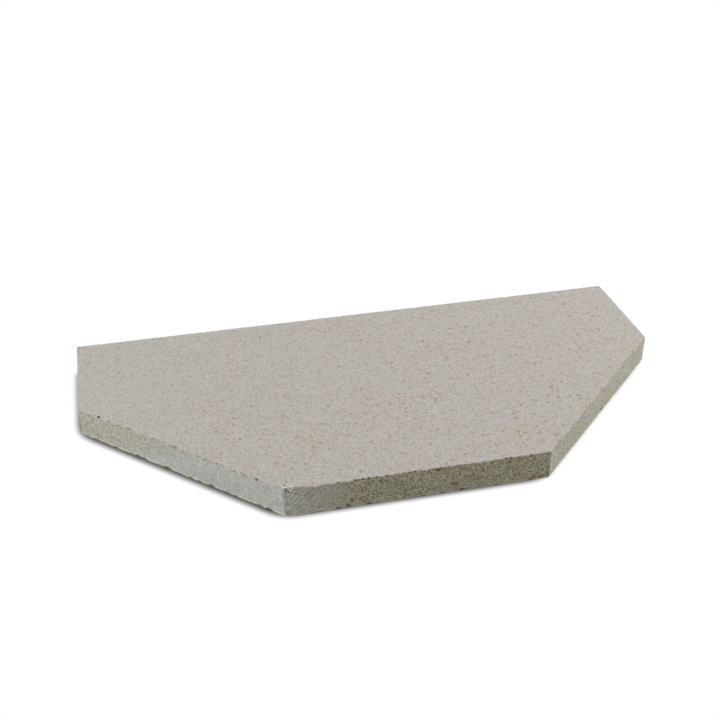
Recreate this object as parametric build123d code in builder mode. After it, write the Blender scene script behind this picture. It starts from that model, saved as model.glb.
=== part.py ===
"""Half octagon kiln shelf: one flat slab of pressed and fired cordierite, six sided in plan.

Two of these lie side by side on kiln posts, long edge to long edge, and make one octagonal deck.
Millimetres. X runs along the long edge, Y from the front edge back to the long edge, Z is up.
The origin is at the middle of the slab's bounding box, on the underside.
"""
from build123d import *
import os

# Driving dimensions
across_flats = 381.0  # the whole octagon between opposite sides, 15 in, and so the long edge too
thickness = 19.05  # 3/4 in slab
corner_radius = 1.5  # the six upright corners, as they leave the press mould
top_arris_radius = 0.6  # edge between the deck and the sides, barely eased
bottom_arris_radius = 0.8  # edge between the underside and the sides, eased a little more

# The octagon that the shelf is one half of
octagon_sides = 8
half_side_turn = 180 / octagon_sides  # degrees, turns the octagon until its flats lie along X and Y
shelf_depth = across_flats / 2  # from the front edge back to the cut through the octagon's centre
long_edge_y = shelf_depth / 2

with BuildPart() as shelf:
    # Plan: a regular octagon, cut through its centre along X. The front half stays,
    # with one whole side in front, a whole slanting side at each end and two half sides at the back.
    with BuildSketch() as plan:
        with Locations((0, long_edge_y)):
            RegularPolygon(across_flats / 2, octagon_sides, major_radius=False, rotation=half_side_turn)
        split(bisect_by=Plane.XZ.offset(-long_edge_y), keep=Keep.TOP)
    extrude(amount=thickness)

    # Upright corners first, so that the eased edges run on smoothly round them
    fillet(shelf.edges().filter_by(Axis.Z), radius=corner_radius)
    fillet(shelf.faces().sort_by(Axis.Z)[-1].edges(), radius=top_arris_radius)
    fillet(shelf.faces().sort_by(Axis.Z)[0].edges(), radius=bottom_arris_radius)

shelf.part.label = "shelf"
os.makedirs("parts", exist_ok=True)
export_step(shelf.part, "parts/shelf.step")
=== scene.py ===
"""Half octagon kiln shelf of pressed and fired cordierite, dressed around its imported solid.

One closed mesh stands for the solid: flat deck and underside, grainy walls, chipped arrises,
and the front left corner worn blunt. One procedural material gives it the pale deck with tan grog,
the coarser buff walls, the iron spots and the rubbed patch.
Lengths are millimetres until the mesh is made, then metres.
"""
import math
import random
from types import SimpleNamespace

import bpy
import numpy as np
from mathutils import Matrix, Vector, noise
from mathutils.geometry import delaunay_2d_cdt


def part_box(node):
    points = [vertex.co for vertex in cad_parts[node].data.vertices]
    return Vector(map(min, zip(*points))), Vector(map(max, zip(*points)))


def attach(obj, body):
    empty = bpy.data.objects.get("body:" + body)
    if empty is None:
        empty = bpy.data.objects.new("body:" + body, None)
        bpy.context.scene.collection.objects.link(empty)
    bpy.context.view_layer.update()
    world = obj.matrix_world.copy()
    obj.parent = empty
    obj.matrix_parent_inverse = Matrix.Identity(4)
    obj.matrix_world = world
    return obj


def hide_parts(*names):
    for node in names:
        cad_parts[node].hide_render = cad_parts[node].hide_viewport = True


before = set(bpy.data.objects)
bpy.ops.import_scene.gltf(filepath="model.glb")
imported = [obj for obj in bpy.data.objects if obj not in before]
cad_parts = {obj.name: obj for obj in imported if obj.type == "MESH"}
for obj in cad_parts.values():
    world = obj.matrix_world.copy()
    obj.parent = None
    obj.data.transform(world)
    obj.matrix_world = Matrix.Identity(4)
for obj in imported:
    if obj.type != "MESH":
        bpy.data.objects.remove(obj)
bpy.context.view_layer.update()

MM = 0.001
UP = np.array((0.0, 0.0, 1.0))

# The slab, as packed
shelf_low, shelf_high = (np.array(corner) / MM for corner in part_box("shelf"))
LONG_EDGE, DEPTH, THICKNESS = shelf_high - shelf_low
CORNER_RADIUS = 1.5
TOP_ARRIS = 0.6
BOTTOM_ARRIS = 0.8

# The outline's corners, anticlockwise from above, and the sides that start at them
HALF_SIDE = LONG_EDGE / 2 * math.tan(math.pi / 8)
CORNERS = np.array((
    (-LONG_EDGE / 2, DEPTH / 2),
    (-LONG_EDGE / 2, DEPTH / 2 - HALF_SIDE),
    (-HALF_SIDE, -DEPTH / 2),
    (HALF_SIDE, -DEPTH / 2),
    (LONG_EDGE / 2, DEPTH / 2 - HALF_SIDE),
    (LONG_EDGE / 2, DEPTH / 2),
))
SIDES = ("left_end", "left_slant", "front", "right_slant", "right_end", "long_edge")
LEFT, FRONT = SIDES.index("left_slant"), SIDES.index("front")
RUNS = np.roll(CORNERS, -1, axis=0) - CORNERS
LENGTHS = np.linalg.norm(RUNS, axis=1)
ALONGS = RUNS / LENGTHS[:, None]
OUTWARDS = np.stack((ALONGS[:, 1], -ALONGS[:, 0]), axis=1)
TURNS = np.arccos(np.clip((OUTWARDS * np.roll(OUTWARDS, 1, axis=0)).sum(1), -1, 1))

# How finely the mesh is cut: spacings, rings along a face's rim as inset and spacing, an even grid inside,
# and the share of its spacing that the grid keeps off the last ring
STATION_SPACING = 0.75
CORNER_STEPS = 4
ARRIS_STEPS = 4
WALL_SPACING = 0.64
ARRIS_ROWS = 4
ARRIS_ROW_SPACING = 0.36
DECK_RINGS = ((1.0, 0.75), (1.5, 0.85), (2.2, 1.0), (3.2, 1.4), (4.7, 1.9))
DECK_GRID = 2.1
UNDERSIDE_RINGS = ((1.4, 0.9), (2.4, 1.3), (4.2, 2.1))
UNDERSIDE_GRID = 3.2
GRID_MARGIN = 0.6

# Closer points at a mark on the deck: rings as share of its radius and number of points,
# and the share that the even grid keeps clear of it
MARK_RINGS = ((0, 1), (0.4, 7), (0.8, 11), (1.2, 13), (1.7, 15))
MARK_CLEARANCE = 2.2

# Grain and wear, always inwards from the solid's faces: depth, size of its bumps, and reach off an arris
WALL_GRAIN = 0.30
WALL_GRAIN_SIZE = 1.9
RUBBED_GRAIN_SHARE = 0.4
DECK_GRAIN = 0.05
DECK_GRAIN_SIZE = 5.0
TOP_WEAR = 0.30
TOP_WEAR_SIZE = 2.4
TOP_WEAR_REACH = 1.1
BOTTOM_WEAR = 1.0
BOTTOM_WEAR_SIZE = 6.0
BOTTOM_WEAR_REACH = 1.3

# How rusty each side is, and how much its bottom arris is worn, in the order of SIDES.
# A pale rim low on the walls is painted light, in place of light thrown up off the floor: its height, and
# how much of it rust hides
RUST = np.array((0.27, 0.27, 1.0, 0.25, 0.25, 0.4))
FOOT_WEAR = np.array((1.0, 1.0, 0.5, 0.4, 0.5, 0.8))
FOOT_LIGHT_HEIGHT = 1.6
RUST_ON_FOOT_LIGHT = 0.6

# An arris turns from deck or underside to wall, for the material, between these shares of upright
ARRIS_BLEND = (0.05, 0.6)

# The worn corner: a blunt slope at the deck, and the front wall rubbed back towards it, most near the deck.
# Pale glints in it fade out between two distances from the tip
BLUNT_REACH = 6.5
BLUNT_DROP = 2.6
BLUNT_ROUGHNESS = 0.25
BLUNT_GRAIN_SIZE = 1.6
RUB_REACH = 24.0
RUB_DEPTH = 1.6
GLINT_SIZE = 1.3
GLINT_FADE = (2, 8)

# The rubbed patch on the left wall is a long fade with a plainer wedge in it, both later near the deck:
# millimetres later per millimetre of height, start and end along the wall, and share
LEFT_RUBS = ((1.6, -8, 80, 0.55), (4.0, 8, 48, 0.45))

# On the front wall it is weaker and fades away from the corner
FRONT_RUB = 0.62
FRONT_RUB_FADE = (2, 52)

# Scratches on both walls: strength on the left one, where along the walls they fade, and their rise away
# from the corner, length and width. Real ones are finer: the widths are as coarse as they need to be to show
LEFT_SCRATCHED = 0.45
LEFT_SCRATCHED_FADE = (20, 120)
FRONT_SCRATCHED_FADE = (6, 40)
SCRATCHES = {LEFT: (math.radians(21), 5.0, 0.4), FRONT: (math.radians(44), 8.0, 0.9)}

# Chips along the arrises, one for so many millimetres, and pits in the walls, one for so many square
# millimetres, with the ranges of their radii and depths. A top chip's depth is the least one and a spread
TOP_CHIP_SPACING = 1.7
TOP_CHIP_RADII = (0.5, 1.3)
TOP_CHIP_DEPTH = 0.35
TOP_CHIP_DEPTH_SPREAD = 0.7
BOTTOM_CHIP_SPACING = 7
BOTTOM_CHIP_RADII = (1.0, 2.6)
BOTTOM_CHIP_DEPTHS = (0.4, 1.0)
PIT_AREA = 55
PIT_RADII = (0.5, 0.9)
PIT_DEPTHS = (0.15, 0.4)
PIT_MARGIN = 1.5

# A chip's greatest depth as a share of its radius. Its inside: roughness as a share of its depth, how deep
# the cut is where its colour starts and is full (dark, painted shade with some brown, or pale on fresh ones,
# partly painted highlight), the share of fresh ones, the iron stains to draw from,
# and the shares of the radius where a stain fades
CHIP_STEEPEST = 0.9
CHIP_ROUGHNESS = 0.18
CHIP_GRAIN_SIZE = 0.8
BROKEN_SHOWS = (0.05, 0.4)
FRESH_AND_GLINT_SHOWS = (0.02, 0.25)
FRESH_AND_GLINT_SHARE = 0.08
IRON_STAINS = (0.0, 0.0, 0.5, 0.9)
STAIN_FADE = (0.5, 1.2)

# A chip nearer to the deck or the underside than this is broken off the arris
ARRIS_ZONE = 1.0

# Marks that show on the walls: side, way along it from its first corner, height, radius, depth, iron stain
WALL_MARKS = (
    ("left_slant", 17.0, 18.9, 1.2, 1.0, 1.0),
    ("left_slant", 26.0, 19.0, 0.9, 0.7, 0.3),
    ("left_slant", 41.6, 19.0, 1.0, 0.8, 0.3),
    ("left_slant", 62.0, 19.0, 0.9, 0.7, 0.2),
    ("left_slant", 78.3, 19.0, 1.0, 0.8, 0.4),
    ("left_slant", 84.3, 17.8, 0.9, 0.4, 0.6),
    ("left_slant", 109.2, 19.0, 1.0, 0.7, 0.4),
    ("left_slant", 137.9, 19.0, 1.4, 1.0, 0.3),
    ("left_slant", 5.0, 8.8, 1.5, 0.15, 0.65),
    ("left_slant", 11.1, 14.7, 1.5, 0.15, 0.6),
    ("left_slant", 31.6, 7.2, 1.0, 0.1, 0.7),
    ("left_slant", 32.8, 5.9, 1.0, 0.1, 0.7),
    ("left_slant", 47.0, 0.3, 3.0, 1.0, 0.0),
    ("left_slant", 70.0, 0.3, 3.2, 1.1, 0.0),
    ("left_slant", 104.0, 0.3, 3.0, 1.1, 0.0),
    ("left_slant", 146.0, 0.3, 3.2, 1.1, 0.0),
    ("front", 30.5, 0.3, 2.8, 0.9, 0.0),
    ("front", 48.5, 0.3, 3.0, 1.0, 0.0),
    ("front", 80.0, 0.3, 3.0, 0.8, 0.0),
    ("front", 92.0, 0.3, 1.9, 0.9, 0.0),
    ("front", 104.0, 0.3, 2.2, 1.4, 0.0),
    ("front", 125.0, 0.3, 1.9, 0.9, 0.0),
    ("front", 146.0, 0.3, 1.9, 0.9, 0.0),
    ("front", 1.5, 2.5, 2.0, 0.15, 0.4),
    ("front", 1.2, 17.0, 1.6, 1.9, 0.6),
    ("front", 38.3, 5.4, 1.2, 0.7, 0.6),
    ("front", 36.2, 1.6, 1.4, 0.8, 0.3),
    ("front", 44.1, 10.8, 1.2, 0.5, 0.6),
    ("front", 40.5, 19.0, 1.4, 0.9, 0.5),
    ("front", 88.5, 17.7, 1.1, 0.6, 1.0),
    ("front", 90.4, 17.8, 1.4, 0.4, 0.75),
    ("front", 92.8, 17.8, 1.4, 0.4, 0.7),
    ("front", 97.6, 6.3, 1.5, 0.3, 0.8),
    ("front", 100.3, 5.6, 1.7, 0.3, 0.8),
    ("front", 113.4, 7.8, 1.4, 0.3, 0.55),
    ("front", 138.0, 16.8, 1.5, 0.3, 0.5),
    ("front", 148.0, 2.2, 2.4, 0.4, 0.6),
    ("front", 152.5, 1.6, 2.2, 0.4, 0.65),
    ("front", 156.8, 8.3, 1.1, 0.3, 0.9),
    ("right_slant", 60.1, 18.8, 1.2, 0.5, 0.9),
    ("right_slant", 83.1, 2.0, 1.6, 0.6, 1.0),
    ("right_slant", 37.8, 6.3, 1.0, 0.3, 0.5),
)

# Dark specks on the deck: x, y, radius, depth, iron stain
DECK_MARKS = (
    (-67.1, 78.8, 0.9, 0.4, 0.9),
    (-163.7, 53.7, 1.1, 0.1, 0.6),
    (-85.1, -5.6, 0.9, 0.3, 0.9),
    (-96.6, -39.6, 0.9, 0.3, 0.8),
    (-92.0, 59.9, 0.9, 0.2, 0.8),
    (-78.6, -90.4, 0.8, 0.3, 0.9),
)

# Patterns of the fired body. Mottle and grit are too fine to show, so they are drawn as coarse as need be
DECK_MOTTLE = 1.15
WALL_GRIT = 0.55
GRIT_RELIEF = 0.8
RELIEF_DEPTH = 1.5
RUST_CLOUDS = 1.6
RUB_EDGE = 5.0

# Grog in two sizes: cell that holds one grain, smallest and largest radius in it, power that makes strong
# ones rare, and strength on the deck and on the walls
GROG = ((4.2, 0.5, 1.75, 1.1, 0.8, 0.2), (2.5, 0.4, 1.05, 1.0, 0.5, 0.8))
GROG_CORE = 0.66
GROG_EDGE = 1.8
GROG_EDGE_PUSH = 1.4
GROG_CLUSTERS = 16.0

# The floor, and the painted shadow near the slab, darker grey paper over its real shadow: how far it leans,
# where off the slab it fades, how round it is
FLOOR_REACH = 6000.0
SHADOW_LEAN = np.array((-3.0, -1.5))
SHADOW_FADE = (-3.2, 3.0)
SHADOW_ROUNDING = 12.0

# Lamps: name, place and width in metres, watts, tint. The surround is seen as white, and lights more weakly
LAMPS = (
    ("overhead", (0.45, 1.08, 0.93), 1.1, 7.2, "#ffffff"),
    ("left_softbox", (-1.28, -0.22, 0.38), 0.9, 17.4, "#fbfeff"),
    ("right_softbox", (1.28, -0.22, 0.38), 0.9, 17.1, "#fffefe"),
)
SURROUND_LIGHT = 0.27

# The camera: the point on the deck that it looks at, its turn to the left, its rise and its roll in degrees
CAMERA_AIM = (-6.7, 32.5, THICKNESS)
CAMERA_TURN, CAMERA_RISE, CAMERA_ROLL = 12.58, 31.06, -0.55
CAMERA_DISTANCE = 748.1
CAMERA_LENS = 56.245

# The unwrapped page for baked textures: a square as wide as the long edge, with a gap round each island
PAGE_GAP = 3.0
PAGE = LONG_EDGE + 2 * PAGE_GAP
PAGE_STRIPS = (("long_edge",), ("left_slant", "front"), ("right_slant", "right_end", "left_end"))


def ripple(points, size, octaves=1):
    """Smooth noise from about -1 to 1 at each point, with bumps of about that size."""
    return np.array([noise.fractal(Vector(p), 1.0, 2.0, octaves) for p in points / size])


def ramp(values, start, end):
    """0 at start, 1 at end, eased between them."""
    t = np.clip((values - start) / (end - start), 0, 1)
    return t * t * (3 - 2 * t)


def insets(places):
    """How far each place lies inside each side's line."""
    return ((CORNERS[None] - places[:, None, :2]) * OUTWARDS[None]).sum(2)


def walk_outline():
    """Stations round the outline with its rounded corners: place, outward direction, side, way along it."""
    places, outwards, sides, alongs = [], [], [], []
    for side, length in enumerate(LENGTHS):
        turn_out = TURNS[(side + 1) % len(SIDES)]
        trim_in, trim_out = (CORNER_RADIUS * math.tan(turn / 2) for turn in (TURNS[side], turn_out))
        straight = length - trim_in - trim_out
        steps = round(straight / STATION_SPACING)
        for step in range(steps):
            along = trim_in + straight * step / steps
            places.append(CORNERS[side] + ALONGS[side] * along)
            outwards.append(OUTWARDS[side])
            alongs.append(along)
        centre = CORNERS[side] + ALONGS[side] * (length - trim_out) - OUTWARDS[side] * CORNER_RADIUS
        for step in range(CORNER_STEPS):
            turned = turn_out * step / CORNER_STEPS
            outward = OUTWARDS[side] * math.cos(turned) + ALONGS[side] * math.sin(turned)
            places.append(centre + outward * CORNER_RADIUS)
            outwards.append(outward)
            alongs.append(length - trim_out + CORNER_RADIUS * turned)
        sides += [side] * (steps + CORNER_STEPS)
    return SimpleNamespace(places=np.array(places), outwards=np.array(outwards),
                           sides=np.array(sides), alongs=np.array(alongs))


def profile_rows():
    """Rows from the deck's rim to the underside's: inset from the outline, height, tilt above level."""
    rows = []
    for step in range(ARRIS_STEPS + 1):
        tilt = math.pi / 2 * (1 - step / ARRIS_STEPS)
        rows.append((TOP_ARRIS * (1 - math.cos(tilt)), THICKNESS - TOP_ARRIS * (1 - math.sin(tilt)), tilt))
    fine = ARRIS_ROW_SPACING * np.arange(1, ARRIS_ROWS + 1)
    high, low = THICKNESS - TOP_ARRIS - fine, BOTTOM_ARRIS + fine
    steps = round((high[-1] - low[-1]) / WALL_SPACING)
    middle = np.linspace(high[-1], low[-1], steps + 1)[1:-1]
    rows += [(0.0, height, 0.0) for height in (*high, *middle, *low[::-1])]
    for step in range(ARRIS_STEPS + 1):
        tilt = -math.pi / 2 * step / ARRIS_STEPS
        rows.append((BOTTOM_ARRIS * (1 - math.cos(tilt)), BOTTOM_ARRIS * (1 + math.sin(tilt)), tilt))
    inset, height, tilt = np.array(rows).T
    return SimpleNamespace(inset=inset, height=height, tilt=tilt)


def sweep_wall(outline, rows):
    """The wall with both arrises, row by row from the deck down: points, the way they face, quads."""
    stations, count = len(outline.places), len(rows.tilt)
    tilt = rows.tilt[:, None, None]
    level = outline.places - outline.outwards * rows.inset[:, None, None]
    heights = np.repeat(rows.height[:, None, None], stations, 1)
    points = np.concatenate((level, heights), 2).reshape(-1, 3)
    facing_out, facing_up = np.cos(tilt) * outline.outwards, np.repeat(np.sin(tilt), stations, 1)
    facing = np.concatenate((facing_out, facing_up), 2).reshape(-1, 3)
    at = np.arange(stations)
    after = np.roll(at, -1)
    above = np.arange(count - 1)[:, None] * stations
    below = above + stations
    quads = np.stack((above + at, below + at, below + after, above + after), 2).reshape(-1, 4)
    return points, facing, quads


def face_points(rings, grid, marks=()):
    """Points that fill the deck or the underside: rings along the rim, an even grid, close ones at marks."""
    found = []
    for inset, spacing in rings:
        starts = CORNERS + (ALONGS * np.tan(TURNS / 2)[:, None] - OUTWARDS) * inset
        for start, end in zip(starts, np.roll(starts, -1, axis=0)):
            steps = round(np.linalg.norm(end - start) / spacing)
            found.append(start + (end - start) * (np.arange(steps) / steps)[:, None])
    rows = np.arange(-DEPTH / 2, DEPTH / 2, grid * math.sqrt(3) / 2)
    columns = np.arange(-LONG_EDGE / 2, LONG_EDGE / 2, grid)
    even = np.array([(x + grid / 2 * (k % 2), y) for k, y in enumerate(rows) for x in columns])
    even = even[insets(even).min(1) > rings[-1][0] + grid * GRID_MARGIN]
    for x, y, radius, _, _ in marks:
        even = even[np.hypot(even[:, 0] - x, even[:, 1] - y) > MARK_CLEARANCE * radius]
        for share, count in MARK_RINGS:
            turns = 2 * math.pi * np.arange(count) / count
            ring = share * radius * np.cos(turns), share * radius * np.sin(turns)
            found.append(np.stack((x + ring[0], y + ring[1]), 1))
    return np.concatenate((*found, even))


def fill_face(rim, rim_start, inner, inner_start):
    """Triangles between a rim and the points inside it, in the slab's own point numbers."""
    flat = [Vector(p) for p in np.concatenate((rim, inner))]
    inside_only, closest = 1, 1e-7
    found = delaunay_2d_cdt(flat, [], [list(range(len(rim)))], inside_only, closest)
    given = np.array([sources[0] for sources in found[3]])
    numbers = np.concatenate((rim_start + np.arange(len(rim)), inner_start + np.arange(len(inner))))
    return numbers[given[np.array(found[2])]]


def bare_slab():
    """The slab before wear: the wall's points first, then the deck's inner ones, then the underside's."""
    outline, rows = walk_outline(), profile_rows()
    wall, wall_facing, quads = sweep_wall(outline, rows)
    deck_inner = face_points(DECK_RINGS, DECK_GRID, DECK_MARKS)
    under_inner = face_points(UNDERSIDE_RINGS, UNDERSIDE_GRID)
    stations = len(outline.places)
    deck_start, under_start = len(wall), len(wall) + len(deck_inner)
    deck = fill_face(wall[:stations, :2], 0, deck_inner, deck_start)
    underside = fill_face(wall[-stations:, :2], deck_start - stations, under_inner, under_start)[:, ::-1]
    points = np.concatenate((
        wall,
        np.column_stack((deck_inner, np.full(len(deck_inner), THICKNESS))),
        np.column_stack((under_inner, np.zeros(len(under_inner)))),
    ))
    facing = np.concatenate((
        wall_facing,
        np.tile(UP, (len(deck_inner), 1)),
        np.tile(-UP, (len(under_inner), 1)),
    ))
    side, along = np.full(len(points), -1), np.zeros(len(points))
    side[:len(wall)] = np.tile(outline.sides, len(rows.tilt))
    along[:len(wall)] = np.tile(outline.alongs, len(rows.tilt))
    return SimpleNamespace(points=points, flat=points.copy(), facing=facing, side=side, along=along,
                           outline=outline, rows=rows, quads=quads, deck=deck, underside=underside, masks={})


def mask_surfaces(slab):
    """Masks for the material: wall, rubbed, scratched, rusty, the painted bounce light low on the walls, and
    empty ones for chips and iron.
    """
    rubbed, scratched, broken, fresh, iron = np.zeros((5, len(slab.points)))
    on_left, on_front = slab.side == LEFT, slab.side == FRONT
    along_left, along_front = slab.along[on_left], slab.along[on_front]
    for lean, start, end, share in LEFT_RUBS:
        rubbed[on_left] += share * ramp(along_left - lean * slab.flat[on_left, 2], start, end)
    rubbed[on_front] = FRONT_RUB * (1 - ramp(along_front, *FRONT_RUB_FADE))
    scratched[on_left] = LEFT_SCRATCHED * ramp(along_left, *LEFT_SCRATCHED_FADE)
    scratched[on_front] = 1 - ramp(along_front, *FRONT_SCRATCHED_FADE)
    rusty = np.where(slab.side < 0, 0, RUST[slab.side]) * (1 - rubbed)
    # A pale rim low on each wall: painted light standing in for light off the floor on the bottom arris,
    # less where rusty
    low = np.exp(-(slab.flat[:, 2] / FOOT_LIGHT_HEIGHT) ** 4)
    foot = np.where(slab.side < 0, 0, low) * (1 - RUST_ON_FOOT_LIGHT * rusty)
    wall = ramp(1 - np.abs(slab.facing[:, 2]), *ARRIS_BLEND)
    slab.masks.update(wall=wall, rubbed=rubbed, scratched=scratched, rusty=rusty, foot=foot,
                      broken=broken, fresh=fresh, iron=iron)


def scratch_ways(slab):
    """Lengths along and widths across the scratches on the two walls that meet at the worn corner."""
    ways = np.zeros((len(slab.points), 3))
    for side, (rise, length, width) in SCRATCHES.items():
        on = slab.side == side
        away = LENGTHS[side] - slab.along[on] if side == LEFT else slab.along[on]
        height = slab.flat[on, 2]
        ways[on, 0] = (away * math.cos(rise) + height * math.sin(rise)) / length
        ways[on, 1] = (height * math.cos(rise) - away * math.sin(rise)) / width
        # Far enough apart that the two walls' scratches differ
        ways[on, 2] = 10 * side
    return ways


def press_grain(slab):
    """Grain in the faces: shallow on the deck, finer and deeper on the walls, weaker where rubbed."""
    wall, rubbed = slab.masks["wall"], slab.masks["rubbed"]
    grain = 0.5 + 0.5 * np.clip(ripple(slab.flat, WALL_GRAIN_SIZE, 2), -1, 1)
    swell = 0.5 + 0.5 * np.clip(ripple(slab.flat, DECK_GRAIN_SIZE, 2), -1, 1)
    deep = WALL_GRAIN * wall * (1 - (1 - RUBBED_GRAIN_SHARE) * rubbed)
    slab.points -= slab.facing * (deep * grain + DECK_GRAIN * (1 - wall) * swell)[:, None]


def wear_arrises(slab):
    """The top arris is nicked finely, the bottom one is eaten away in longer, deeper waves."""
    inset = insets(slab.flat)
    nearest, nearest_side = inset.min(1), inset.argmin(1)
    level_out = np.column_stack((OUTWARDS[nearest_side], np.zeros(len(slab.flat))))
    nicks = np.clip(ripple(slab.flat, TOP_WEAR_SIZE, 2), 0, 1)
    waves = np.clip(0.1 + 0.8 * ripple(slab.flat, BOTTOM_WEAR_SIZE, 3), 0, 1) * FOOT_WEAR[nearest_side]
    from_top = np.hypot(nearest, THICKNESS - slab.flat[:, 2])
    from_bottom = np.hypot(nearest, slab.flat[:, 2])
    off_top = TOP_WEAR * nicks * np.exp(-(from_top / TOP_WEAR_REACH) ** 2)
    off_bottom = BOTTOM_WEAR * waves * np.exp(-(from_bottom / BOTTOM_WEAR_REACH) ** 2)
    slab.points -= (level_out + UP) * off_top[:, None]
    slab.points -= (level_out - UP) * off_bottom[:, None]


def wear_corner(slab):
    """Rubs the front wall back towards its left corner, and breaks the tip off in a rough slope."""
    tip = np.array((*CORNERS[FRONT], THICKNESS))
    fading = np.clip(1 - (slab.points[:, 0] - tip[0]) / RUB_REACH, 0, 2) ** 2
    rubbed_back = RUB_DEPTH * fading * slab.flat[:, 2] / THICKNESS
    from_front = slab.points[:, 1] - tip[1]
    # The deck's points slide back with the wall, less and less further in, so that none pile up
    inside = from_front + rubbed_back * (1 - ramp(from_front, 0, 4 * RUB_DEPTH))
    slab.points[:, 1] = tip[1] + np.where(slab.side < 0, inside, np.maximum(from_front, rubbed_back))
    on_left = tip - BLUNT_REACH * np.array((*ALONGS[LEFT], 0.0))
    on_front = tip + BLUNT_REACH * np.array((*ALONGS[FRONT], 0.0))
    below = tip - BLUNT_DROP * UP
    out = np.cross(below - on_left, on_front - on_left)
    out /= np.linalg.norm(out)
    from_tip = np.linalg.norm(slab.flat - tip, axis=1)
    near = np.flatnonzero(from_tip < 2 * BLUNT_REACH)
    rough = BLUNT_ROUGHNESS * ripple(slab.flat[near], BLUNT_GRAIN_SIZE, 2)
    cut = np.maximum((slab.points[near] - below) @ out + rough, 0)
    slab.points[near] -= out * cut[:, None]
    # Pale glints near the tip, on the front wall and the deck's rim: painted highlights, kept with the fresh
    # breaks
    glints = ramp(ripple(slab.flat[near], GLINT_SIZE, 2), 0.0, 0.4) * (slab.side[near] != LEFT)
    slab.masks["fresh"][near] += FRESH_AND_GLINT_SHOWS[1] * glints * (1 - ramp(from_tip[near], *GLINT_FADE))


def scoop(slab, spot, outward, radius, depth, inside="broken", iron=0.0):
    """Breaks out a rough hollow of that mouth radius and depth, and marks its inside and its stain."""
    near = np.flatnonzero(np.abs(slab.flat - spot).max(1) < 2 * (radius + depth))
    ball = (radius ** 2 + depth ** 2) / (2 * depth)
    away = slab.points[near] - (spot + outward * (ball - depth))
    distance = np.linalg.norm(away, axis=1)
    rough = CHIP_ROUGHNESS * depth * ripple(slab.points[near], CHIP_GRAIN_SIZE)
    cut = np.maximum(ball + rough - distance, 0)
    slab.points[near] += away * (cut / distance)[:, None]
    slab.masks[inside][near] += cut
    from_spot = np.linalg.norm(slab.flat[near] - spot, axis=1)
    stain = iron * (1 - ramp(from_spot, *(radius * share for share in STAIN_FADE)))
    slab.masks["iron"][near] = np.maximum(slab.masks["iron"][near], stain)


def wall_spot(side, along, height):
    """The point on a wall and the direction out of it, tilted up or down at an arris."""
    place = np.array((*(CORNERS[side] + ALONGS[side] * along), height))
    outward = np.array((*OUTWARDS[side], 0.0))
    if height > THICKNESS - ARRIS_ZONE:
        outward = (outward + UP) / math.sqrt(2)
    elif height < ARRIS_ZONE:
        outward = (outward - UP) / math.sqrt(2)
    return place, outward


def scatter_chips(slab):
    """Small chips all along both arrises and pits in the walls, the same on each run."""
    rng = random.Random(7)
    for side, length in enumerate(LENGTHS):
        for _ in range(round(length / TOP_CHIP_SPACING)):
            spot, out = wall_spot(side, rng.uniform(0, length), THICKNESS)
            # The left wall shows no fresh ones, whose pale inside is partly painted highlight
            inside = "fresh" if rng.random() < FRESH_AND_GLINT_SHARE and side != LEFT else "broken"
            iron = rng.choice(IRON_STAINS) * math.sqrt(RUST[side])
            depth = TOP_CHIP_DEPTH + TOP_CHIP_DEPTH_SPREAD * rng.random() ** 2
            # The open grain of a rusty side breaks out deeper
            depth *= 0.55 + 0.45 * RUST[side]
            radius = rng.uniform(*TOP_CHIP_RADII)
            scoop(slab, spot, out, radius, min(depth, CHIP_STEEPEST * radius), inside, iron)
        for _ in range(round(length / BOTTOM_CHIP_SPACING)):
            spot, out = wall_spot(side, rng.uniform(0, length), 0.0)
            radius, depth = rng.uniform(*BOTTOM_CHIP_RADII), rng.uniform(*BOTTOM_CHIP_DEPTHS)
            scoop(slab, spot, out, radius, depth * FOOT_WEAR[side])
        for _ in range(round(length * THICKNESS / PIT_AREA)):
            along, height = rng.uniform(0, length), rng.uniform(PIT_MARGIN, THICKNESS - PIT_MARGIN)
            spot, out = wall_spot(side, along, height)
            scoop(slab, spot, out, rng.uniform(*PIT_RADII), rng.uniform(*PIT_DEPTHS))


def mark_as_seen(slab):
    """The chips, pits and iron spots that the shelf shows, each in its place."""
    for name, along, height, radius, depth, iron in WALL_MARKS:
        spot, out = wall_spot(SIDES.index(name), along, height)
        scoop(slab, spot, out, radius, depth, iron=iron)
    for x, y, radius, depth, iron in DECK_MARKS:
        scoop(slab, np.array((x, y, THICKNESS)), UP, radius, depth, iron=iron)


def trim_to_solid(slab):
    """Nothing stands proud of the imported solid's faces."""
    slab.points[:, 2] = np.clip(slab.points[:, 2], 0, THICKNESS)
    for outward, corner in zip(OUTWARDS, CORNERS):
        past = np.maximum((slab.points[:, :2] - corner) @ outward, 0)
        slab.points[:, :2] -= outward * past[:, None]


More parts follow.
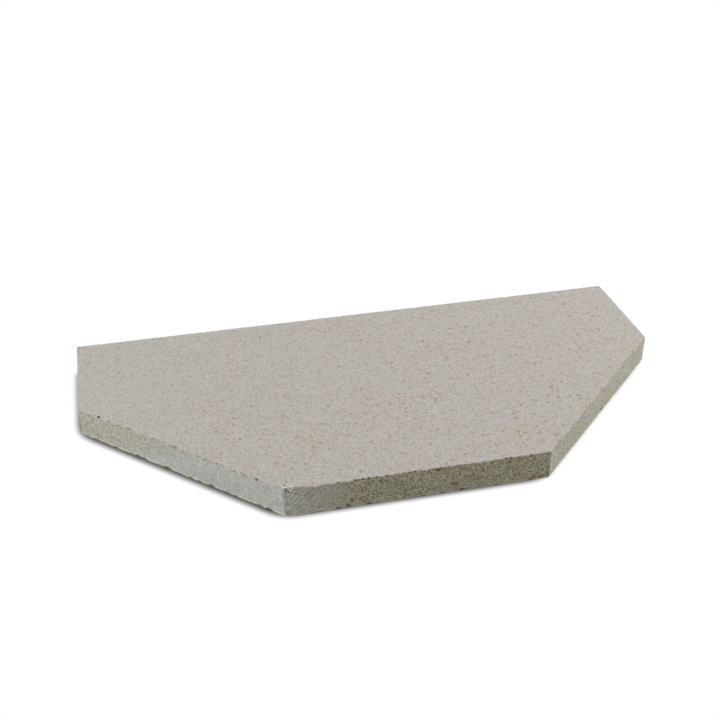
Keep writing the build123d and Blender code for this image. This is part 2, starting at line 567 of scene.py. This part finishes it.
def unwrap(slab):
    """Places on the square page for each face's corners: deck at full size, walls in strips, underside."""
    outline, rows = slab.outline, slab.rows
    stations, count = len(outline.places), len(rows.tilt)
    down = np.concatenate(((0,), np.cumsum(np.hypot(np.diff(rows.inset), np.diff(rows.height)))))
    starts = np.zeros((len(SIDES), 2))
    for strip, names in enumerate(PAGE_STRIPS):
        across = PAGE_GAP
        for name in names:
            side = SIDES.index(name)
            starts[side] = across, PAGE_GAP * 2 + DEPTH + (PAGE_GAP + down[-1]) * strip
            across += LENGTHS[side] + PAGE_GAP
    step = np.linalg.norm(np.roll(outline.places, -1, axis=0) - outline.places, axis=1)
    left = np.tile(starts[outline.sides, 0] + outline.alongs, count - 1)
    right = left + np.tile(step, count - 1)
    low = np.tile(starts[outline.sides, 1], count - 1)
    upper = low + np.repeat(down[-1] - down[:-1], stations)
    lower = low + np.repeat(down[-1] - down[1:], stations)
    wall = np.stack((left, upper, left, lower, right, lower, right, upper), 1).reshape(-1, 2)
    deck = slab.flat[slab.deck.ravel(), :2] - (-LONG_EDGE / 2 - PAGE_GAP, -DEPTH / 2 - PAGE_GAP)
    top = PAGE_GAP * 2 + DEPTH + (PAGE_GAP + down[-1]) * len(PAGE_STRIPS)
    shrink = (PAGE - top - PAGE_GAP) / DEPTH
    underside = (slab.flat[slab.underside.ravel(), :2] * (-1, 1) + (LONG_EDGE / 2, DEPTH / 2)) * shrink
    return np.concatenate((wall, deck, underside + (PAGE_GAP, top))) / PAGE


def build_slab():
    """The worn slab as one closed mesh, with its masks and its unwrapped page."""
    slab = bare_slab()
    mask_surfaces(slab)
    press_grain(slab)
    wear_arrises(slab)
    wear_corner(slab)
    scatter_chips(slab)
    mark_as_seen(slab)
    trim_to_solid(slab)
    slab.masks["broken"] = ramp(slab.masks["broken"], *BROKEN_SHOWS)
    slab.masks["fresh"] = ramp(slab.masks["fresh"], *FRESH_AND_GLINT_SHOWS)

    mesh = bpy.data.meshes.new("shelf_slab")
    faces = [*slab.quads.tolist(), *slab.deck.tolist(), *slab.underside.tolist()]
    mesh.from_pydata((slab.points * MM).tolist(), [], faces)
    mesh.polygons.foreach_set("use_smooth", np.ones(len(faces), bool))
    for name, values in slab.masks.items():
        mesh.attributes.new(name, "FLOAT", "POINT").data.foreach_set("value", values.astype(np.float32))
    ways = scratch_ways(slab).ravel().astype(np.float32)
    mesh.attributes.new("scratch_way", "FLOAT_VECTOR", "POINT").data.foreach_set("vector", ways)
    mesh.uv_layers.new(name="OFBake").data.foreach_set("uv", unwrap(slab).ravel().astype(np.float32))
    piece = bpy.data.objects.new("shelf_slab", mesh)
    bpy.context.scene.collection.objects.link(piece)
    return piece


def linear(hex_colour):
    """An sRGB hex colour as linear red, green, blue and alpha."""
    parts = [int(hex_colour[k:k + 2], 16) / 255 for k in (1, 3, 5)]
    return (*(c / 12.92 if c <= 0.04045 else ((c + 0.055) / 1.055) ** 2.4 for c in parts), 1.0)


def add(tree, kind, inputs=None, stops=(), **settings):
    """Adds a node with its settings and any ramp stops.

    An input gets a number, a vector, a hex colour, a socket, or a node's first result.
    """
    node = tree.nodes.new("ShaderNode" + kind)
    for name, value in settings.items():
        setattr(node, name, value)
    for _ in stops[2:]:
        node.color_ramp.elements.new(0.5)
    for number, (at, colour) in enumerate(stops):
        node.color_ramp.elements[number].position = at
        node.color_ramp.elements[number].color = linear(colour)
    sockets = {socket.identifier: socket for socket in node.inputs}
    for name, value in (inputs or {}).items():
        if isinstance(value, bpy.types.Node):
            value = next(socket for socket in value.outputs if socket.enabled)
        if isinstance(value, bpy.types.NodeSocket):
            tree.links.new(value, sockets[name])
        else:
            sockets[name].default_value = linear(value) if isinstance(value, str) else value
    return node


def per_mm(size):
    """A texture's scale for a pattern of that size in millimetres."""
    return 1 / (size * MM)


def deck_body(tree, place):
    """Deck: pale warm grey body with a fine greenish mottle."""
    mottle = add(tree, "TexNoise",
                 {"Vector": place, "Scale": per_mm(DECK_MOTTLE), "Detail": 2.0, "Roughness": 0.6})
    tone = add(tree, "MapRange", {"Value": mottle, "From Min": 0.28, "From Max": 0.58})
    return add(tree, "Mix", {"Factor_Float": tone, "A_Color": "#a69e88", "B_Color": "#c1bcba"},
               data_type="RGBA")


def wall_body(tree, place, grains, rusty):
    """Walls: open sandy grain, pale and dark side by side, with rusty clouds, and on some dark pores that
    are partly painted shade.
    """
    sand = add(tree, "ValToRGB", {"Fac": grains.outputs["Red"]},
               stops=((0.0, "#7e7b67"), (0.3, "#9e9c8f"), (0.75, "#b1b0a6"), (1.0, "#d0cfc8")))
    clouds = add(tree, "TexNoise",
                 {"Vector": place, "Scale": per_mm(RUST_CLOUDS), "Detail": 2.0, "Roughness": 0.6})
    stain = add(tree, "MapRange", {"Value": clouds, "From Min": 0.3, "From Max": 0.7, "To Max": 0.7})
    stain = add(tree, "Math", {"Value": stain, "Value_001": rusty}, operation="MULTIPLY")
    buff = add(tree, "Mix", {"Factor_Float": stain, "A_Color": sand, "B_Color": "#c0b784"}, data_type="RGBA")
    # Dark pores, strongest on the rusty front: partly real pores, partly painted shade of the sandy relief
    # under grazing light
    pores_and_shade = add(tree, "MapRange",
                {"Value": grains.outputs["Green"], "From Min": 0.45, "From Max": 0.05, "To Max": 0.95})
    open_grain_and_shade = add(tree, "Math", {"Value": rusty, "Value_001": 1.6}, operation="POWER")
    pores_and_shade = add(tree, "Math", {"Value": pores_and_shade, "Value_001": open_grain_and_shade}, operation="MULTIPLY")
    return add(tree, "Mix", {"Factor_Float": pores_and_shade, "A_Color": buff, "B_Color": "#544724"}, data_type="RGBA")


def grog_flecks(tree, place, cell, small, large):
    """Fired clay grains cut through at the surface: a mask of one ragged grain a cell, and two chances."""
    wobble = add(tree, "TexNoise", {"Vector": place, "Scale": per_mm(GROG_EDGE), "Detail": 1.0})
    pushed = add(tree, "VectorMath", {"Vector": wobble.outputs["Color"], "Vector_001": (0.5, 0.5, 0.5)},
                 operation="SUBTRACT")
    ragged = add(tree, "VectorMath",
                 {"Vector": pushed, "Vector_001": (GROG_EDGE_PUSH * MM,) * 3, "Vector_002": place},
                 operation="MULTIPLY_ADD")
    cells = add(tree, "TexVoronoi", {"Vector": ragged, "Scale": per_mm(cell)})
    chances = add(tree, "SeparateColor", {"Color": cells.outputs["Color"]})
    size = add(tree, "MapRange",
               {"Value": chances.outputs["Red"], "To Min": small / cell, "To Max": large / cell})
    core = add(tree, "Math", {"Value": size, "Value_001": GROG_CORE}, operation="MULTIPLY")
    mask = add(tree, "MapRange", {"Value": cells.outputs["Distance"], "From Min": size, "From Max": core})
    return mask, chances.outputs["Green"], chances.outputs["Blue"]


def strew_grog(tree, place, colour, wall, rusty):
    """Tan grog, a few large grains and many small ones in loose clusters, plainest on the deck."""
    clusters = add(tree, "TexNoise", {"Vector": place, "Scale": per_mm(GROG_CLUSTERS), "Detail": 1.0})
    level = add(tree, "MapRange",
                {"Value": clusters, "From Min": 0.3, "From Max": 0.7, "To Min": 0.65, "To Max": 1.2})
    rightwards = add(tree, "VectorMath", {"Vector": place, "Vector_001": (1.0, -0.6, 0.0)},
                     operation="DOT_PRODUCT")
    plainer = add(tree, "MapRange",
                  {"Value": rightwards.outputs["Value"], "From Min": -0.16, "From Max": 0.04,
                   "To Min": 0.75, "To Max": 1.15})
    level = add(tree, "Math", {"Value": level, "Value_001": plainer}, operation="MULTIPLY")
    for cell, small, large, rarity, on_deck, on_wall in GROG:
        mask, tint, chance = grog_flecks(tree, place, cell, small, large)
        tan = add(tree, "Mix", {"Factor_Float": tint, "A_Color": "#997840", "B_Color": "#ab8751"},
                  data_type="RGBA")
        tan = add(tree, "Mix", {"Factor_Float": rusty, "A_Color": tan, "B_Color": "#7d5e30"},
                  data_type="RGBA")
        shown = add(tree, "Math", {"Value": chance, "Value_001": rarity}, operation="POWER")
        strength = add(tree, "MapRange", {"Value": wall, "To Min": on_deck, "To Max": on_wall})
        for factor in (mask, level, strength):
            shown = add(tree, "Math", {"Value": shown, "Value_001": factor}, operation="MULTIPLY")
        colour = add(tree, "Mix", {"Factor_Float": shown, "A_Color": colour, "B_Color": tan},
                     data_type="RGBA")
    return colour


def scratches(tree):
    """Lines that run the way the corner was rubbed."""
    way = add(tree, "Attribute", attribute_name="scratch_way").outputs["Vector"]
    return add(tree, "TexNoise", {"Vector": way, "Scale": 1.0, "Detail": 2.0})


def rub_patch(tree, place, colour, rubbed, scratched, lines):
    """Rubbed patch: the skin is worn to a smoother grey with fine scratches, ragged at its edge."""
    patches = add(tree, "TexNoise", {"Vector": place, "Scale": per_mm(RUB_EDGE), "Detail": 2.0})
    ragged = add(tree, "MapRange",
                 {"Value": patches, "From Min": 0.3, "From Max": 0.7, "To Min": 0.6, "To Max": 1.2})
    worn = add(tree, "Math", {"Value": rubbed, "Value_001": ragged}, operation="MULTIPLY")
    worn = add(tree, "MapRange", {"Value": worn, "To Max": 0.7})
    cut = add(tree, "ValToRGB", {"Fac": lines},
              stops=((0.32, "#7b7974"), (0.5, "#bebcb8"), (0.68, "#faf8f3")))
    grey = add(tree, "Mix", {"Factor_Float": scratched, "A_Color": "#bbbab8", "B_Color": cut},
               data_type="RGBA")
    return add(tree, "Mix", {"Factor_Float": worn, "A_Color": colour, "B_Color": grey}, data_type="RGBA")


def tint_wear(tree, colour, grains, masks):
    """A pale buff rim low on the walls is painted bounce light, chips are dark inside with painted shade and
    some brown, fresh ones pale and partly painted highlight, and iron spots are ochre.
    """
    # Pale buff rim low on the walls: painted bounce light from the floor
    bounce_light = add(tree, "MapRange", {"Value": grains.outputs["Blue"], "To Min": 0.5, "To Max": 1.0})
    bounce_light = add(tree, "Math", {"Value": masks["foot"], "Value_001": bounce_light}, operation="MULTIPLY")
    colour = add(tree, "Mix", {"Factor_Float": bounce_light, "A_Color": colour, "B_Color": "#e4dec0"},
                 data_type="RGBA")
    # Chips dark inside: painted shade in the hollows, with some brown
    dirt_and_shade = add(tree, "Math", {"Value": masks["broken"], "Value_001": 0.85}, operation="MULTIPLY")
    colour = add(tree, "Mix", {"Factor_Float": dirt_and_shade, "A_Color": colour, "B_Color": "#4f4737"},
                 data_type="RGBA")
    # Fresh breaks and glints: pale colour, partly real fresh fracture and partly painted highlight
    colour = add(tree, "Mix", {"Factor_Float": masks["fresh"], "A_Color": colour, "B_Color": "#f2f0ea"},
                 data_type="RGBA")
    dark = add(tree, "Math", {"Value": masks["iron"], "Value_001": 3.0}, operation="POWER")
    ochre = add(tree, "Mix", {"Factor_Float": dark, "A_Color": "#8a6c3a", "B_Color": "#3a2912"},
                data_type="RGBA")
    spots = add(tree, "MapRange", {"Value": grains.outputs["Green"], "To Min": 0.6, "To Max": 1.0})
    spots = add(tree, "Math", {"Value": masks["iron"], "Value_001": spots}, operation="MULTIPLY")
    return add(tree, "Mix", {"Factor_Float": spots, "A_Color": colour, "B_Color": ochre}, data_type="RGBA")


def fine_relief(tree, place, wall, scratched, lines):
    """Relief too fine for the mesh: sandy on the walls, faint on the deck, scratched on the rubbed walls."""
    sandy = add(tree, "TexNoise",
                {"Vector": place, "Scale": per_mm(GRIT_RELIEF), "Detail": 2.0, "Roughness": 0.6})
    sandy = add(tree, "Math", {"Value": sandy, "Value_001": 0.5}, operation="SUBTRACT")
    coarse = add(tree, "MapRange", {"Value": wall, "To Min": 0.12, "To Max": 1.0})
    sandy = add(tree, "Math", {"Value": sandy, "Value_001": coarse}, operation="MULTIPLY")
    cuts = add(tree, "Math", {"Value": lines, "Value_001": 0.5}, operation="SUBTRACT")
    cuts = add(tree, "Math", {"Value": cuts, "Value_001": scratched}, operation="MULTIPLY")
    height = add(tree, "Math", {"Value": sandy, "Value_001": cuts}, operation="ADD")
    return add(tree, "Bump", {"Height": height, "Strength": 1.0, "Distance": RELIEF_DEPTH * MM})


def fired_cordierite():
    """Fired cordierite, pressed dry and left unglazed: porous, dead matt, with tan grog in a pale body."""
    material = bpy.data.materials.new("fired_cordierite")
    material.use_nodes = True
    tree = material.node_tree
    tree.nodes.clear()
    place = add(tree, "TexCoord").outputs["Object"]
    masks = {
        name: add(tree, "Attribute", attribute_name=name).outputs["Fac"]
        for name in ("wall", "rubbed", "scratched", "rusty", "foot", "broken", "fresh", "iron")
    }
    wall, rubbed, scratched, rusty = (masks[name] for name in ("wall", "rubbed", "scratched", "rusty"))
    cells = add(tree, "TexVoronoi", {"Vector": place, "Scale": per_mm(WALL_GRIT)})
    grains = add(tree, "SeparateColor", {"Color": cells.outputs["Color"]})
    lines = scratches(tree)
    deck = deck_body(tree, place)
    sides = wall_body(tree, place, grains, rusty)
    colour = add(tree, "Mix", {"Factor_Float": wall, "A_Color": deck, "B_Color": sides}, data_type="RGBA")
    colour = strew_grog(tree, place, colour, wall, rusty)
    colour = rub_patch(tree, place, colour, rubbed, scratched, lines)
    colour = tint_wear(tree, colour, grains, masks)
    relief = fine_relief(tree, place, wall, scratched, lines)
    surface = add(tree, "BsdfPrincipled",
                  {"Base Color": colour, "Roughness": 0.92, "IOR": 1.54, "Normal": relief})
    add(tree, "OutputMaterial", {"Surface": surface})
    return material


def seen_rays(tree):
    """1 for a ray that shows its end to the eye, straight from the camera or by way of gloss or glass."""
    rays = add(tree, "LightPath").outputs
    shown = add(tree, "Math", {"Value": rays["Is Camera Ray"], "Value_001": rays["Is Glossy Ray"]},
                operation="MAXIMUM")
    return add(tree, "Math", {"Value": shown, "Value_001": rays["Is Transmission Ray"]}, operation="MAXIMUM")


def white_paper():
    """Matt white paper: close by it keeps the shelf's shadow, darkened into a painted shadow, most on the
    left, and is white beyond.
    """
    material = bpy.data.materials.new("white_paper")
    material.use_nodes = True
    tree = material.node_tree
    tree.nodes.clear()
    place = add(tree, "TexCoord").outputs["Object"]
    beyond = None
    for outward, corner in zip(OUTWARDS, CORNERS):
        reach = outward @ (corner + SHADOW_LEAN) * MM
        off_side = add(tree, "VectorMath", {"Vector": place, "Vector_001": (*outward, 0.0)},
                       operation="DOT_PRODUCT")
        off_side = add(tree, "Math", {"Value": off_side.outputs["Value"], "Value_001": reach},
                       operation="SUBTRACT")
        if beyond is None:
            beyond = off_side
            continue
        beyond = add(tree, "Math",
                     {"Value": beyond, "Value_001": off_side, "Value_002": SHADOW_ROUNDING * MM},
                     operation="SMOOTH_MAX")
    near, far = (distance * MM for distance in SHADOW_FADE)
    plain = add(tree, "MapRange", {"Value": beyond, "From Min": near, "From Max": far},
                interpolation_type="SMOOTHSTEP")
    paper = add(tree, "BsdfDiffuse", {"Color": "#c4c4c4"})
    # Darker grey paper near the slab: a painted shadow over the real one, which it also shows
    painted_shadow_paper = add(tree, "BsdfDiffuse", {"Color": "#808080"})
    white = add(tree, "Emission", {"Strength": 1.0})
    seen = add(tree, "MixShader", {"Fac": plain, "Shader": painted_shadow_paper, "Shader_001": white})
    pick = add(tree, "MixShader", {"Fac": seen_rays(tree), "Shader": paper, "Shader_001": seen})
    add(tree, "OutputMaterial", {"Surface": pick})
    return material


def lay_floor():
    """A wide floor at the height that the shelf rests on."""
    reach = FLOOR_REACH * MM
    mesh = bpy.data.meshes.new("floor")
    mesh.from_pydata([(-reach, -reach, 0), (reach, -reach, 0), (reach, reach, 0), (-reach, reach, 0)],
                     [], [(0, 1, 2, 3)])
    mesh.materials.append(white_paper())
    floor = bpy.data.objects.new("floor", mesh)
    bpy.context.scene.collection.objects.link(floor)


def light_studio():
    """Soft light from overhead and from both ends, little from the front, and a white surround."""
    for name, place, size, power, tint in LAMPS:
        lamp = bpy.data.lights.new(name, "AREA")
        lamp.shape = "DISK"
        lamp.size = size
        lamp.energy = power
        lamp.color = linear(tint)[:3]
        stand = bpy.data.objects.new(name, lamp)
        stand.location = place
        stand.rotation_mode = "QUATERNION"
        stand.rotation_quaternion = (-Vector(place)).to_track_quat("-Z", "Y")
        bpy.context.scene.collection.objects.link(stand)
    world = bpy.data.worlds.new("surround")
    bpy.context.scene.world = world
    world.use_nodes = True
    tree = world.node_tree
    tree.nodes.clear()
    strength = add(tree, "MapRange", {"Value": seen_rays(tree), "To Min": SURROUND_LIGHT, "To Max": 1.0})
    background = add(tree, "Background", {"Color": "#ffffff", "Strength": strength})
    add(tree, "OutputWorld", {"Surface": background})


def set_camera():
    """The photograph's view: from the front, a little left and above."""
    turn, rise, roll = (math.radians(angle) for angle in (CAMERA_TURN, CAMERA_RISE, CAMERA_ROLL))
    ahead = Vector((math.sin(turn) * math.cos(rise), math.cos(turn) * math.cos(rise), -math.sin(rise)))
    camera = bpy.data.cameras.new("camera")
    camera.sensor_width = 36.0
    camera.lens = CAMERA_LENS
    camera.clip_start = 0.01
    stand = bpy.data.objects.new("camera", camera)
    stand.rotation_mode = "QUATERNION"
    upright = ahead.to_track_quat("-Z", "Y")
    stand.rotation_quaternion = upright @ Matrix.Rotation(roll, 3, "Z").to_quaternion()
    stand.location = Vector(CAMERA_AIM) * MM - ahead * (CAMERA_DISTANCE * MM)
    bpy.context.scene.collection.objects.link(stand)
    bpy.context.scene.camera = stand


slab = build_slab()
slab.data.materials.append(fired_cordierite())
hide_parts("shelf")
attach(slab, "root")
lay_floor()
light_studio()
set_camera()
bpy.context.scene.view_settings.view_transform = "Standard"
